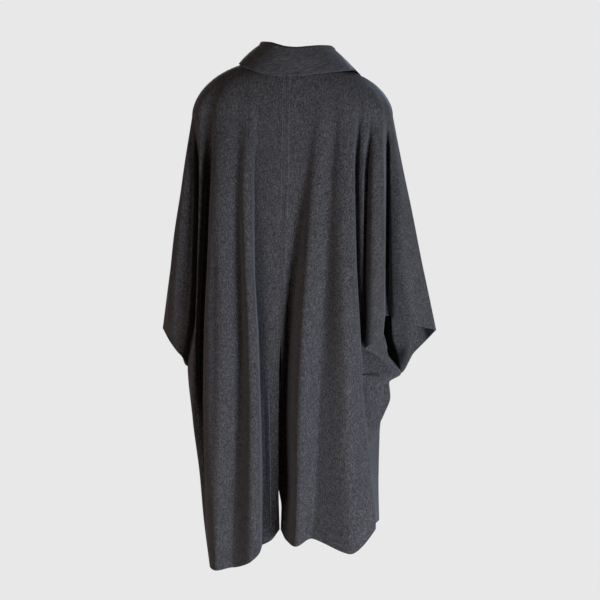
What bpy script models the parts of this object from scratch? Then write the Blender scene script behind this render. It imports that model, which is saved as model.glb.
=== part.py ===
# Oversized wool cape coat, filled out as if worn, with no wearer inside.
# The back faces -Y, the fronts face +Y, the wearer's right is +X, and Z is up.
# The origin is the middle of the neck opening, at the height of the shoulders.
# Lengths in the tables are millimetres, and METRE turns them into metres.
import math

import bmesh
import bpy
import numpy as np

METRE = 0.001

# Cloth
WALL = 2.5
SEAM_GAP = 0.3
STEEPEST_SEAM = 0.05
LAP_DROP = 5.0

# Neck seam, an ellipse round the origin
NECK_MIDDLE = 5.0
NECK_HALF_WIDTH = 72.0
NECK_BACK = 75.0
NECK_FRONT = 68.0
NECK_BACK_HEIGHT = -12.0
NECK_RIGHT_HEIGHT = -10.0
NECK_LEFT_HEIGHT = 8.0
NECK_FRONT_HEIGHT = -62.0

# Yoke, a rounded oblong where the cloth turns down from the shoulders
YOKE_MIDDLE = -9.5
YOKE_HALF_WIDTH = 220.5
YOKE_BACK = 98.0
YOKE_FRONT = 90.0

# How sharply the cloth is creased along each kind of valley, reached at a run below the yoke
CREASES = {
    "centre valley": 0.4, "shallow valley": 0.3, "side valley": 0.8, "sleeve valley": 0.7,
    "deep valley": 0.9, "valley": 0.25, "step": 0.7, "front valley": 0.4,
}
YOKE_DROP = -110.0
# 1 for an ellipse over the shoulders, more for a straighter slope.
SHOULDER_SLOPE = 1.09
CREASE_RUN = 200.0

# Rows of faces down a panel, and columns of faces from one fold to the next
YOKE_ROWS = 5
UPPER_ROWS = 11
LOWER_ROWS = 8
BACK_COLUMNS = 3
FRONT_COLUMNS = 2

# Collar
COLLAR_WALL = 3.0
COLLAR_COLUMNS = 44
COLLAR_OPEN = 15.0
STAND_ROWS = 2
STAND_FOOT = 2.2
STAND_LEAN = 4.0
ROLL_ROWS = 5
ROLL_RADIUS = 6.5
# Height of the collar's top by angle round the neck
ROLL_HEIGHTS = (
    (-165, -20), (-150, -8), (-120, 34), (-100, 49), (-80, 48), (-50, 45), (-35, 43), (-20, 38),
    (-5, 33), (12, 31), (30, 33), (55, 36), (80, 37), (100, 33), (120, 20), (150, -12), (165, -22),
)
FALL_ROWS = 4
FALL_LIFT = 4.5
FALL_BULGE = 3.0
# How far down the shoulder the fall reaches, as the sine of its turn over the yoke, by angle.
COLLAR_REACH = (
    (-165, 0.80), (-150, 0.97), (-122, 0.62), (-90, 0.33), (-45, 0.45), (0, 0.56),
    (45, 0.50), (90, 0.40), (122, 0.66), (150, 0.97), (165, 0.80),
)

# Buttons
BUTTON_RADIUS = 14.0
BUTTON_THICKNESS = 4.0
BUTTON_EDGE = 1.0
BUTTON_RIM = 2.6
BUTTON_SLOPE = 1.5
BUTTON_DISH = 1.2
BUTTON_SIDES = 32
HOLE_RADIUS = 1.1
HOLE_SPACING = 2.9
HOLE_SIDES = 10
HOLE_OVERRUN = 2.0
BUTTON_HEIGHTS = (-130.0, -270.0, -410.0, -550.0)

# Heights of the vent's top and of the line from the centre back to the lowest point of a sleeve
VENT_TOP = -585.0
UNDERARM_CENTRE = -660.0
UNDERARM_RIGHT = -655.0
UNDERARM_LEFT = -667.0

# Each fold line of a panel: its place round the neck in degrees from the centre back towards
# the wearer's right, then (height, across, depth) down the line, the first one at the yoke.

BACK_RIGHT = (
    ("seam", 0, (-110, 4, -97), (-250, 2, -99), (-420, -2, -101), (-580, -8, -96), (-640, -9, -89),
     (-750, -20, -82), (-900, -20, -80), (-960, -12, -80), (-1008, -13, -80)),
    ("centre valley", 13, (-110, 56, -95), (-250, 43, -95), (-420, 25, -88), (-580, 6, -76),
     (-750, -6, -66), (-900, -2, -66), (-970, 2, -82), (-1024, 6, -104)),
    ("first ridge", 24, (-110, 79, -98), (-250, 69, -110), (-420, 59, -126), (-580, 51, -139),
     (-750, 46, -146), (-900, 44, -152), (-1018, 42, -158)),
    ("shallow valley", 34, (-110, 110, -94), (-250, 98, -104), (-420, 92, -110), (-580, 85, -115),
     (-750, 79, -118), (-900, 76, -122), (-1007, 68, -130)),
    ("second ridge", 43, (-110, 126, -94), (-250, 130, -112), (-420, 134, -128), (-580, 141, -140),
     (-750, 147, -144), (-900, 153, -149), (-1027, 157, -154)),
    ("side roll", 50, (-110, 146, -90), (-250, 151, -104), (-420, 158, -112), (-580, 168, -114),
     (-700, 174, -112), (-750, 179, -111), (-830, 188, -110), (-900, 195, -110), (-945, 201, -109),
     (-983, 202, -109)),
    ("side valley", 56, (-110, 156, -80), (-250, 147, -80), (-420, 150, -77), (-580, 157, -71),
     (-700, 160, -66), (-750, 163, -66), (-830, 166, -68), (-900, 174, -74), (-1000, 184, -80)),
    ("side seam", 62, (-110, 169, -78), (-250, 165, -84), (-420, 165, -82), (-520, 169, -78),
     (-548, 186, -68), (-576, 210, -60), (-614, 217, -60), (-655, 243, -46), (-680, 214, -27),
     (-713, 216, -22), (-746, 205, -25), (-774, 193, -30), (-833, 173, -40), (-913, 183, -55),
     (-984, 194, -62)),
)
SLEEVE_BACK_RIGHT = (
    ("sleeve valley", 67, (-110, 181, -70), (-250, 171, -74), (-420, 168, -80), (-598, 176, -98)),
    ("sleeve crest", 71, (-110, 190, -65), (-250, 191, -90), (-420, 193, -104), (-585, 193, -110)),
    ("sleeve ridge", 75, (-110, 200, -53), (-250, 209, -80), (-420, 214, -92), (-566, 213, -98)),
    ("deep valley", 79, (-110, 205, -37), (-250, 203, -24), (-420, 202, -19), (-538, 203, -21)),
    ("valley floor", 82, (-110, 209, -27), (-250, 210, -20), (-420, 209, -16), (-535, 210, -18)),
    ("sleeve edge", 84, (-110, 211, -18), (-250, 217, -33), (-420, 222, -38), (-540, 230, -37)),
    ("sleeve back", 87, (-110, 211, -9), (-250, 231, -34), (-420, 249, -46), (-548, 264, -41)),
    ("overarm", 90, (-110, 211, 0), (-190, 228, 0), (-310, 255, 0), (-420, 278, 0), (-490, 294, 0),
     (-566, 311, 0)),
)
BACK_LEFT = (
    ("seam", 0, (-110, 4, -97), (-250, 2, -99), (-420, -2, -101), (-580, -8, -96), (-640, -11, -98),
     (-750, -13, -97), (-900, -14, -96), (-1003, -12, -95)),
    ("vent facing", -8, (-110, -24, -97), (-250, -27, -102), (-420, -34, -104), (-580, -36, -103),
     (-750, -33, -100), (-900, -31, -98), (-1029, -31, -96)),
    ("step", -17, (-110, -56, -97), (-250, -65, -98), (-420, -66, -97), (-580, -59, -94),
     (-750, -55, -92), (-900, -52, -92), (-1041, -52, -97)),
    ("ridge edge", -21, (-110, -64, -98), (-250, -67, -112), (-420, -62, -123), (-580, -52, -131),
     (-750, -46, -136), (-900, -45, -137), (-1046, -47, -134)),
    ("first ridge", -26, (-110, -75, -99), (-250, -80, -118), (-420, -74, -131), (-580, -65, -141),
     (-750, -60, -147), (-900, -60, -150), (-1062, -61, -152)),
    ("valley", -35, (-110, -101, -95), (-250, -101, -107), (-420, -96, -111), (-580, -92, -113),
     (-750, -96, -115), (-900, -104, -117), (-1088, -112, -123)),
    ("second ridge", -46, (-110, -128, -93), (-250, -136, -111), (-420, -133, -125),
     (-580, -132, -134), (-750, -136, -139), (-900, -139, -143), (-1090, -140, -146)),
    ("ridge flank", -52, (-110, -150, -87), (-250, -158, -100), (-420, -163, -111), (-580, -169, -116),
     (-750, -172, -118), (-900, -170, -120), (-1094, -162, -120)),
    ("deep valley", -58, (-110, -167, -72), (-250, -177, -56), (-420, -187, -48), (-580, -199, -44),
     (-700, -201, -46), (-775, -199, -52), (-900, -194, -62), (-1000, -187, -76), (-1101, -174, -88)),
    ("side ridge", -65, (-110, -193, -67), (-250, -193, -76), (-420, -198, -80), (-590, -207, -78),
     (-700, -216, -64), (-776, -219, -52), (-897, -209, -48), (-1000, -198, -56), (-1103, -184, -60)),
    ("side seam", -71, (-110, -211, -49), (-250, -206, -28), (-420, -210, -26), (-560, -219, -29),
     (-610, -231, -22), (-667, -248, -10), (-762, -238, -15), (-870, -221, -20), (-1000, -203, -30),
     (-1098, -191, -38)),
)
SLEEVE_BACK_LEFT = (
    ("valley floor", -74, (-110, -216, -42), (-250, -214, -25), (-420, -218, -25), (-560, -227, -29),
     (-657, -251, -19)),
    ("sleeve flank", -77, (-110, -221, -34), (-250, -217, -44), (-420, -222, -49), (-545, -233, -47),
     (-642, -254, -33)),
    ("sleeve crest", -81, (-110, -225, -26), (-250, -235, -51), (-420, -249, -56), (-545, -260, -51),
     (-631, -262, -38)),
    ("sleeve back", -85, (-110, -229, -14), (-250, -248, -32), (-420, -268, -40), (-545, -279, -39),
     (-611, -282, -28)),
    ("overarm", -90, (-110, -230, 0), (-190, -244, 0), (-310, -266, 0), (-420, -285, 0),
     (-490, -296, 0), (-584, -310, 0)),
)
FRONT_RIGHT = (
    ("front edge", 199, (-110, -22, 90), (-250, -22, 104), (-420, -22, 112), (-580, -22, 116),
     (-750, -28, 114), (-900, -34, 112), (-1045, -38, 110)),
    ("button stand", 160, (-110, 34, 90), (-250, 35, 105), (-420, 36, 114), (-580, 38, 118),
     (-750, 34, 118), (-900, 30, 118), (-1045, 26, 118)),
    ("front valley", 147, (-110, 68, 87), (-250, 69, 94), (-420, 72, 98), (-580, 76, 98),
     (-750, 76, 96), (-900, 76, 94), (-1042, 76, 92)),
    ("front ridge", 135, (-110, 101, 85), (-250, 109, 104), (-420, 116, 118), (-580, 122, 124),
     (-750, 122, 126), (-900, 120, 126), (-1036, 118, 126)),
    ("side valley", 123, (-110, 139, 68), (-250, 143, 74), (-420, 150, 76), (-580, 156, 74),
     (-750, 156, 74), (-900, 156, 76), (-1024, 156, 78)),
    ("side ridge", 113, (-110, 180, 56), (-250, 176, 60), (-420, 184, 66), (-580, 190, 66),
     (-700, 185, 58), (-800, 180, 50), (-900, 178, 50), (-1010, 180, 48)),
    ("side seam", 105, (-110, 198, 36), (-250, 197, 38), (-420, 206, 36), (-580, 216, 19),
     (-612, 226, 9), (-655, 243, -46), (-680, 214, -27), (-713, 216, -22), (-746, 205, -25),
     (-774, 193, -30), (-833, 173, -40), (-913, 183, -55), (-984, 194, -62)),
)
SLEEVE_FRONT_RIGHT = (
    ("sleeve valley", 101, (-110, 203, 31), (-250, 211, 36), (-420, 230, 36), (-624, 258, 20)),
    ("sleeve front", 95, (-110, 209, 18), (-250, 232, 38), (-420, 264, 46), (-597, 283, 32)),
    ("overarm", 90, (-110, 211, 0), (-190, 228, 0), (-310, 255, 0), (-420, 278, 0), (-490, 294, 0),
     (-566, 311, 0)),
)
FRONT_LEFT = (
    ("front edge", 169, (-110, 22, 90), (-250, 22, 104), (-420, 22, 112), (-580, 20, 116),
     (-750, -36, 113), (-900, -74, 109), (-1050, -92, 105)),
    ("button stand", 211, (-110, -34, 90), (-250, -36, 104), (-420, -38, 113), (-580, -40, 117),
     (-750, -62, 115), (-900, -88, 113), (-1052, -102, 111)),
    ("front valley", 223, (-110, -68, 87), (-250, -70, 94), (-420, -74, 98), (-580, -78, 98),
     (-750, -92, 98), (-900, -106, 98), (-1060, -116, 98)),
    ("front ridge", 234, (-110, -104, 86), (-250, -111, 104), (-420, -118, 118), (-580, -124, 124),
     (-750, -128, 124), (-900, -130, 122), (-1070, -134, 122)),
    ("side valley", 244, (-110, -143, 69), (-250, -147, 74), (-420, -154, 76), (-580, -160, 76),
     (-750, -162, 76), (-900, -158, 78), (-1078, -152, 78)),
    ("side ridge", 252, (-110, -191, 58), (-250, -182, 60), (-420, -190, 66), (-580, -198, 66),
     (-700, -204, 56), (-800, -202, 48), (-900, -196, 46), (-1086, -183, 42)),
    ("side seam", 259, (-110, -213, 37), (-250, -210, 38), (-420, -220, 34), (-580, -234, 14),
     (-667, -248, -10), (-762, -238, -15), (-870, -221, -20), (-1000, -203, -30), (-1098, -191, -38)),
)
SLEEVE_FRONT_LEFT = (
    ("sleeve front", 265, (-110, -224, 21), (-250, -240, 36), (-420, -262, 40), (-626, -280, 22)),
    ("overarm", 270, (-110, -230, 0), (-190, -244, 0), (-310, -266, 0), (-420, -285, 0),
     (-490, -296, 0), (-584, -310, 0)),
)


def smooth_through(knots, values, places, creases=0.0):
    # A cubic through the values that never swings past them: its slope is nought at a turn and
    # the harmonic mean of the two neighbouring slopes elsewhere. Where there is a crease, from 0
    # to 1, the slopes before and after the knot go over to those of straight lines.
    knots, values = np.asarray(knots, float), np.asarray(values, float)
    steps = np.diff(values, axis=0) / np.diff(knots)[:, None]
    same_way = steps[:-1] * steps[1:] > 0
    total = np.where(same_way, steps[:-1] + steps[1:], 1.0)
    inner = np.where(same_way, 2 * steps[:-1] * steps[1:] / total, 0.0)
    after = np.concatenate([steps[:1], inner + (steps[1:] - inner) * creases, steps[-1:]])
    before = np.concatenate([steps[:1], inner + (steps[:-1] - inner) * creases, steps[-1:]])
    part = np.clip(np.searchsorted(knots, places, side="right") - 1, 0, len(knots) - 2)
    width = (knots[part + 1] - knots[part])[:, None]
    t = (np.asarray(places, float)[:, None] - knots[part][:, None]) / width
    start, end = values[part], values[part + 1]
    return (
        start * (1 + 2 * t) * (1 - t) ** 2
        + end * t**2 * (3 - 2 * t)
        + width * (after[part] * t * (1 - t) ** 2 + before[part + 1] * t**2 * (t - 1))
    )


def side_to_end(angles, left, right, back, front):
    # A measure round the neck that has these values at the two sides, the back and the front.
    turns = np.radians(angles)
    sides = (right + left) / 2 + (right - left) / 2 * np.sin(turns)
    ends = np.where(np.cos(turns) > 0, back, front)
    return sides + (ends - sides) * np.cos(turns) ** 2


def neck_points(angles):
    turns = np.radians(angles)
    depth = np.where(np.cos(turns) > 0, NECK_BACK, NECK_FRONT)
    across = NECK_MIDDLE + NECK_HALF_WIDTH * np.sin(turns)
    heights = side_to_end(
        angles, NECK_LEFT_HEIGHT, NECK_RIGHT_HEIGHT, NECK_BACK_HEIGHT, NECK_FRONT_HEIGHT
    )
    return np.stack([across, -depth * np.cos(turns), heights], axis=1)


def plain_yoke(points):
    # The same places moved onto the yoke's plain outline, a rounded oblong with no folds.
    out = points[:, :2] - [YOKE_MIDDLE, 0]
    depth = np.where(out[:, 1] < 0, YOKE_BACK, YOKE_FRONT)
    reach = (np.abs(out[:, 0]) / YOKE_HALF_WIDTH) ** 3 + (np.abs(out[:, 1]) / depth) ** 3
    plain = points.copy()
    plain[:, :2] = [YOKE_MIDDLE, 0] + out / np.cbrt(reach)[:, None]
    return plain


def over_the_yoke(necks, yokes, share):
    # A quarter of an oval from the neck, where the cloth lies flat, to the yoke, where it
    # hangs. The folds grow from nothing at the neck.
    turn = share * math.pi / 2
    plain = plain_yoke(yokes)
    points = necks + (plain - necks) * math.sin(turn) ** SHOULDER_SLOPE
    fallen = 1 - max(math.cos(turn), 0) ** SHOULDER_SLOPE
    points[:, 2] = necks[:, 2] + (plain[:, 2] - necks[:, 2]) * fallen
    return points + (yokes - plain) * share**2


def fold_line(stations, turn, to_hem):
    # The points of one fold from the yoke down, as many to the underarm on every fold.
    table = np.array(stations, float)
    end = turn if to_hem else table[-1, 0]
    heights = np.linspace(table[0, 0], end, UPPER_ROWS + 1)
    if to_hem:
        heights = np.append(heights, np.linspace(turn, table[-1, 0], LOWER_ROWS + 1)[1:])
    hung = smooth_through(-table[:, 0], table[:, 1:], -heights)
    return np.concatenate([hung, heights[:, None]], axis=1)


def across_the_folds(lines, names, columns):
    # Each row of points, made into a curve from one fold line to the next: round over a ridge,
    # and creased along a valley, more so further down.
    lines = np.array(lines)
    count = len(lines)
    places = np.linspace(0, count - 1, (count - 1) * columns + 1)
    sharpest = np.array([CREASES.get(name, 0.0) for name in names])[1:-1]
    depth = np.clip((YOKE_DROP - lines[1:-1, :, 2]) / CREASE_RUN, 0, 1)
    creases = (sharpest[:, None, None] * depth[..., None] * [1, 1, 0]).reshape(count - 2, -1)
    curved = smooth_through(np.arange(count), lines.reshape(count, -1), places, creases)
    return curved.reshape(len(places), -1, 3).transpose(1, 0, 2)


def panel_surface(body, sleeve, underarm, columns):
    # The middle surface of a panel: all of its columns down to the underarm, then the body's only.
    # Rows run down and columns run from the centre to the overarm.
    turns = np.linspace(UNDERARM_CENTRE, underarm, len(body))
    body_lines = [fold_line(fold[2:], turn, True) for fold, turn in zip(body, turns)]
    upper = [line[: UPPER_ROWS + 1] for line in body_lines]
    upper += [fold_line(fold[2:], underarm, False) for fold in sleeve]
    names = [fold[0] for fold in body + sleeve]
    upper = across_the_folds(upper, names, columns)
    lower = [line[UPPER_ROWS:] for line in body_lines]
    lower = across_the_folds(lower, names[: len(body)], columns)
    lower[0] = upper[-1, : lower.shape[1]]
    angles = np.array([[fold[1]] for fold in body + sleeve], float)
    places = np.linspace(0, len(angles) - 1, upper.shape[1])
    necks = neck_points(smooth_through(np.arange(len(angles)), angles, places)[:, 0])
    shares = np.arange(YOKE_ROWS) / YOKE_ROWS
    yoke = np.array([over_the_yoke(necks, upper[0], share) for share in shares])
    return np.concatenate([yoke, upper]), lower


def points_and_faces(upper, lower):
    # One list of points for both parts of a panel, which share a row, and its four-sided faces.
    across, below = upper.shape[1], lower.shape[1]
    points = np.concatenate([upper.reshape(-1, 3), lower[1:].reshape(-1, 3)])
    top = np.arange(upper.shape[0] * across).reshape(-1, across)
    first = top.size
    rest = first + np.arange((lower.shape[0] - 1) * below).reshape(-1, below)
    bottom = np.concatenate([top[-1:, :below], rest])
    return points, np.concatenate([faces_of(top), faces_of(bottom)]), top, bottom


def faces_of(grid):
    corners = (grid[:-1, :-1], grid[1:, :-1], grid[1:, 1:], grid[:-1, 1:])
    return np.stack(corners, axis=-1).reshape(-1, 4)


def point_normals(points, faces):
    # Points in the same place share one normal, so that two panels meet squarely at a seam.
    _, same = np.unique(np.round(points, 4), axis=0, return_inverse=True)
    same = same.reshape(-1)
    corners = points[faces]
    crossed = np.cross(corners[:, 2] - corners[:, 0], corners[:, 3] - corners[:, 1])
    total = np.zeros((same.max() + 1, 3))
    for corner in range(4):
        np.add.at(total, same[faces[:, corner]], crossed)
    normals = total[same]
    return normals / np.linalg.norm(normals, axis=1, keepdims=True)


def pulled_back(points, inner, normals):
    # Seam points moved towards their own panel, by half of the gap square to the seam's plane.
    step = inner - points
    step /= np.linalg.norm(step, axis=1, keepdims=True)
    lean = np.sum(step * normals, axis=1, keepdims=True)
    return points + step * SEAM_GAP / 2 / np.sqrt(np.maximum(1 - lean**2, STEEPEST_SEAM))


def boundary_of(faces):
    # The edges that only one face has, in the direction in which that face runs.
    edges = np.concatenate([faces[:, [i, (i + 1) % 4]] for i in range(4)])
    key = np.sort(edges, axis=1)
    _, index, count = np.unique(key, axis=0, return_inverse=True, return_counts=True)
    return edges[count[index.reshape(-1)] == 1]


def add_object(name, points, faces, material):
    mesh = bpy.data.meshes.new(name)
    mesh.from_pydata((np.asarray(points) * METRE).tolist(), [], [list(face) for face in faces])
    mesh.validate()
    mesh.materials.append(material)
    mesh.shade_smooth()
    mesh.set_sharp_from_angle(angle=math.radians(50))
    made = bpy.data.objects.new(name, mesh)
    bpy.context.collection.objects.link(made)
    return made


def add_wall(name, middle, normals, faces, thickness, material):
    outer = middle + normals * thickness / 2
    inner = middle - normals * thickness / 2
    count = len(middle)
    rim = boundary_of(faces)
    sides = np.stack([rim[:, 1], rim[:, 0], rim[:, 0] + count, rim[:, 1] + count], axis=1)
    solid = np.concatenate([faces, faces[:, ::-1] + count, sides])
    add_object(name, np.concatenate([outer, inner]), solid, material)


def plain_material(name, colour, roughness):
    material = bpy.data.materials.new(name)
    material.use_nodes = True
    surface = material.node_tree.nodes["Principled BSDF"]
    surface.inputs["Base Color"].default_value = (*colour, 1)
    surface.inputs["Roughness"].default_value = roughness
    surface.inputs["Metallic"].default_value = 0
    return material


def pull_seams_back(points, normals, top, bottom, centre_seam):
    # Half of the seam's gap is taken from each of the panels that meet there.
    moved = points.copy()
    for grid in (top, bottom):
        seams = [(grid[:, -1], grid[:, -2])]
        if centre_seam:
            seams.append((grid[:, 0], grid[:, 1]))
        for seam, inner in seams:
            moved[seam] = pulled_back(points[seam], points[inner], normals[seam])
    return moved


def join_seams(surfaces):
    # Panels that are sewn together have the same points along their seam.
    seam_rows = surfaces["back_right"][0][:, 0, 2] > VENT_TOP
    surfaces["back_left"][0][seam_rows, 0] = surfaces["back_right"][0][seam_rows, 0]
    for side in ("right", "left"):
        _, back_lower = surfaces["back_" + side]
        front_upper, front_lower = surfaces["front_" + side]
        front_lower[:, -1] = back_lower[:, -1]
        front_upper[-1, front_lower.shape[1] - 1] = back_lower[0, -1]


def make_panels(wool):
    panels = {
        "back_right": (BACK_RIGHT, SLEEVE_BACK_RIGHT, UNDERARM_RIGHT, BACK_COLUMNS, False),
        "back_left": (BACK_LEFT, SLEEVE_BACK_LEFT, UNDERARM_LEFT, BACK_COLUMNS, True),
        "front_right": (FRONT_RIGHT, SLEEVE_FRONT_RIGHT, UNDERARM_RIGHT, FRONT_COLUMNS, True),
        "front_left": (FRONT_LEFT, SLEEVE_FRONT_LEFT, UNDERARM_LEFT, FRONT_COLUMNS, False),
    }
    surfaces = {name: panel_surface(*cut[:4]) for name, cut in panels.items()}
    join_seams(surfaces)
    made = {}
    all_points, all_faces = [], []
    start = 0
    for name, (*_, turned) in panels.items():
        points, faces, top, bottom = points_and_faces(*surfaces[name])
        if turned:
            faces = faces[:, ::-1]
        made[name] = [points, faces, top, bottom, start]
        all_points.append(points)
        all_faces.append(faces + start)
        start += len(points)
    normals = point_normals(np.concatenate(all_points), np.concatenate(all_faces))
    for name, (points, faces, top, bottom, first) in made.items():
        own = normals[first : first + len(points)]
        if name == "front_left":
            points = points - own * lap_share(top, bottom, len(points)) * LAP_DROP
        moved = pull_seams_back(points, own, top, bottom, name.startswith("back"))
        add_wall(name, moved, own, faces, WALL, wool)
        made[name] = (points, own, top, bottom)
    return made


def lap_share(top, bottom, count):
    # How far under the other front each point of the left front lies, from 1 to 0.
    share = np.zeros(count)
    for grid in (top, bottom):
        place = np.arange(grid.shape[1]) / FRONT_COLUMNS
        share[grid] = np.clip(2 - place, 0, 1)
    return share[:, None]


def yoke_points(angles):
    # Where the yoke lies below each place round the neck, read from the folds of the panels.
    folds = [(fold[1] - 360, fold[2]) for fold in FRONT_LEFT + SLEEVE_FRONT_LEFT[:-1]]
    folds += [(fold[1], fold[2]) for fold in BACK_LEFT[1:] + SLEEVE_BACK_LEFT]
    folds += [(fold[1], fold[2]) for fold in BACK_RIGHT + SLEEVE_BACK_RIGHT]
    folds += [(fold[1], fold[2]) for fold in FRONT_RIGHT + SLEEVE_FRONT_RIGHT[:-1]]
    folds.sort()
    places = np.array([fold[1] for fold in folds], float)[:, [1, 2, 0]]
    return smooth_through([fold[0] for fold in folds], places, angles)


def collar_sections(angles):
    # One section of the collar at each angle: up the stand, over the roll and down the fall.
    necks = neck_points(angles)
    turns = np.radians(angles)
    outward = np.stack([np.sin(turns) / NECK_HALF_WIDTH, -np.cos(turns) / NECK_BACK, 0 * turns], 1)
    outward /= np.linalg.norm(outward, axis=1, keepdims=True)
    upward = np.array([0, 0, 1.0])
    heights = np.array(ROLL_HEIGHTS, float)
    tops = smooth_through(heights[:, 0], heights[:, 1:], angles)[:, 0] - ROLL_RADIUS
    stand, fall = [], []
    foot = necks[:, 2] + WALL / 2 + STAND_FOOT
    for share in np.linspace(0, 1, STAND_ROWS + 1):
        heights = foot + (tops - SEAM_GAP / 2 - foot) * share
        section = necks - outward * STAND_LEAN * share
        section[:, 2] = heights
        stand.append(section)
    start = necks - outward * STAND_LEAN
    start[:, 2] = tops
    for turn in np.linspace(0, math.pi, ROLL_ROWS + 1):
        over = outward * ROLL_RADIUS * (1 - math.cos(turn)) + upward * ROLL_RADIUS * math.sin(turn)
        fall.append(start + over)
    fall[0] = fall[0] + upward * SEAM_GAP / 2
    plain = plain_yoke(yoke_points(angles))
    table = np.array(COLLAR_REACH, float)
    reach = np.arcsin(smooth_through(table[:, 0], table[:, 1:], angles)[:, 0]) * 2 / math.pi
    on, away = shoulder_points(necks, plain, reach)
    edge = on + away * FALL_LIFT
    end = fall[-1]
    bend = end + (edge - end) / 2 + upward * FALL_BULGE + outward * FALL_BULGE
    for share in np.linspace(0, 1, FALL_ROWS + 1)[1:]:
        fall.append(end * (1 - share) ** 2 + bend * 2 * share * (1 - share) + edge * share**2)
    return np.array(stand), np.array(fall)


def shoulder_points(necks, plain, shares):
    # Places on the shoulders below the collar, a share of the way to the yoke, and the
    # direction away from the cloth there.
    turns = shares[:, None] * math.pi / 2
    step = plain - necks
    points = necks + step * np.sin(turns) ** SHOULDER_SLOPE
    points[:, 2:] = necks[:, 2:] + step[:, 2:] * (1 - np.cos(turns) ** SHOULDER_SLOPE)
    along = step * np.cos(turns) * np.sin(turns) ** (SHOULDER_SLOPE - 1)
    along[:, 2:] = step[:, 2:] * np.sin(turns) * np.cos(turns) ** (SHOULDER_SLOPE - 1)
    round_the_neck = np.stack([-step[:, 1], step[:, 0], 0 * step[:, 0]], axis=1)
    away = np.cross(along, round_the_neck)
    return points, away / np.linalg.norm(away, axis=1, keepdims=True)


def make_collar(wool):
    angles = np.linspace(COLLAR_OPEN - 180, 180 - COLLAR_OPEN, COLLAR_COLUMNS + 1)
    stand, fall = collar_sections(angles)
    count = stand.shape[1]
    both = np.concatenate([stand, fall])
    faces = faces_of(np.arange(len(both) * count).reshape(-1, count))[:, ::-1]
    normals = point_normals(both.reshape(-1, 3), faces).reshape(both.shape)
    seam = slice(len(stand) - 1, len(stand) + 1)
    normals[seam] = normals[seam].mean(axis=0)
    for name, part, own in (
        ("collar_stand", stand, normals[: len(stand)]),
        ("collar_fall", fall, normals[len(stand) :]),
    ):
        faces = faces_of(np.arange(len(part) * count).reshape(-1, count))[:, ::-1]
        add_wall(name, part.reshape(-1, 3), own.reshape(-1, 3), faces, COLLAR_WALL, wool)


def make_buttons(panel, plastic):
    # The buttons sit on the column of points halfway between the front edge and the stand's fold.
    points, _, top, _ = panel
    column = FRONT_COLUMNS // 2
    for number, height in enumerate(BUTTON_HEIGHTS, 1):
        below = np.argmax(points[top[:, column], 2] < height)
        above_row, below_row = points[top[below - 1]], points[top[below]]
        part = (above_row[column, 2] - height) / (above_row[column, 2] - below_row[column, 2])
        row = above_row + (below_row - above_row) * part
        place, sides = row[column], row[[column - 1, column + 1]] - row[column]
        normal = np.cross(sides[0] - sides[1], above_row[column] - below_row[column])
        normal *= math.copysign(1 / np.linalg.norm(normal), normal[1])
        sides *= BUTTON_RADIUS / np.linalg.norm(sides, axis=1, keepdims=True)
        highest = max(0, (sides @ normal).max())
        seat = place + normal * (highest + WALL / 2 + SEAM_GAP)
        add_button(f"button_{number}", seat, normal, plastic)


def add_button(name, middle, normal, plastic):
    side = np.cross([0, 0, 1], normal)
    side /= np.linalg.norm(side)
    upward = np.cross(normal, side)
    dish = BUTTON_RADIUS - BUTTON_RIM
    profile = (
        (BUTTON_RADIUS - BUTTON_EDGE, 0.0),
        (BUTTON_RADIUS, BUTTON_EDGE),
        (BUTTON_RADIUS, BUTTON_THICKNESS - BUTTON_EDGE),
        (BUTTON_RADIUS - BUTTON_EDGE, BUTTON_THICKNESS),
        (dish, BUTTON_THICKNESS),
        (dish - BUTTON_SLOPE, BUTTON_THICKNESS - BUTTON_DISH),
    )
    turns = np.arange(BUTTON_SIDES) * 2 * math.pi / BUTTON_SIDES
    ring = np.cos(turns)[:, None] * side + np.sin(turns)[:, None] * upward
    points = np.concatenate([middle + ring * radius + normal * rise for radius, rise in profile])
    rings = np.arange(len(points)).reshape(-1, BUTTON_SIDES)
    closed = np.concatenate([rings, rings[:, :1]], axis=1)
    faces = faces_of(closed)[:, ::-1].tolist() + [rings[0, ::-1].tolist(), rings[-1].tolist()]
    button = add_object(name, points, faces, plastic)
    drill = add_drill(name, middle, normal, side, upward)
    cut = button.modifiers.new("thread holes", "BOOLEAN")
    cut.object = drill
    cut.operation = "DIFFERENCE"


def add_drill(name, middle, normal, side, upward):
    # Four round rods, one for each thread hole of the button.
    made = bmesh.new()
    turns = np.arange(HOLE_SIDES) * 2 * math.pi / HOLE_SIDES
    ring = np.cos(turns)[:, None] * side + np.sin(turns)[:, None] * upward
    length = normal * (BUTTON_THICKNESS + 2 * HOLE_OVERRUN)
    for across in (-HOLE_SPACING, HOLE_SPACING):
        for up in (-HOLE_SPACING, HOLE_SPACING):
            centre = middle + side * across + upward * up - normal * HOLE_OVERRUN
            end = [made.verts.new(point * METRE) for point in centre + ring * HOLE_RADIUS]
            grown = bmesh.ops.extrude_face_region(made, geom=[made.faces.new(end)])["geom"]
            far = [item for item in grown if isinstance(item, bmesh.types.BMVert)]
            bmesh.ops.translate(made, verts=far, vec=length * METRE)
    bmesh.ops.recalc_face_normals(made, faces=made.faces)
    mesh = bpy.data.meshes.new(name + " drill")
    made.to_mesh(mesh)
    made.free()
    drill = bpy.data.objects.new(name + " drill", mesh)
    drill.hide_render = True
    drill.display_type = "WIRE"
    bpy.context.collection.objects.link(drill)
    return drill


def main():
    for old in list(bpy.data.objects):
        bpy.data.objects.remove(old)
    wool = plain_material("charcoal wool", (0.045, 0.046, 0.050), 0.9)
    plastic = plain_material("dark button plastic", (0.02, 0.02, 0.022), 0.35)
    panels = make_panels(wool)
    make_collar(wool)
    make_buttons(panels["front_right"], plastic)


main()
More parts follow.
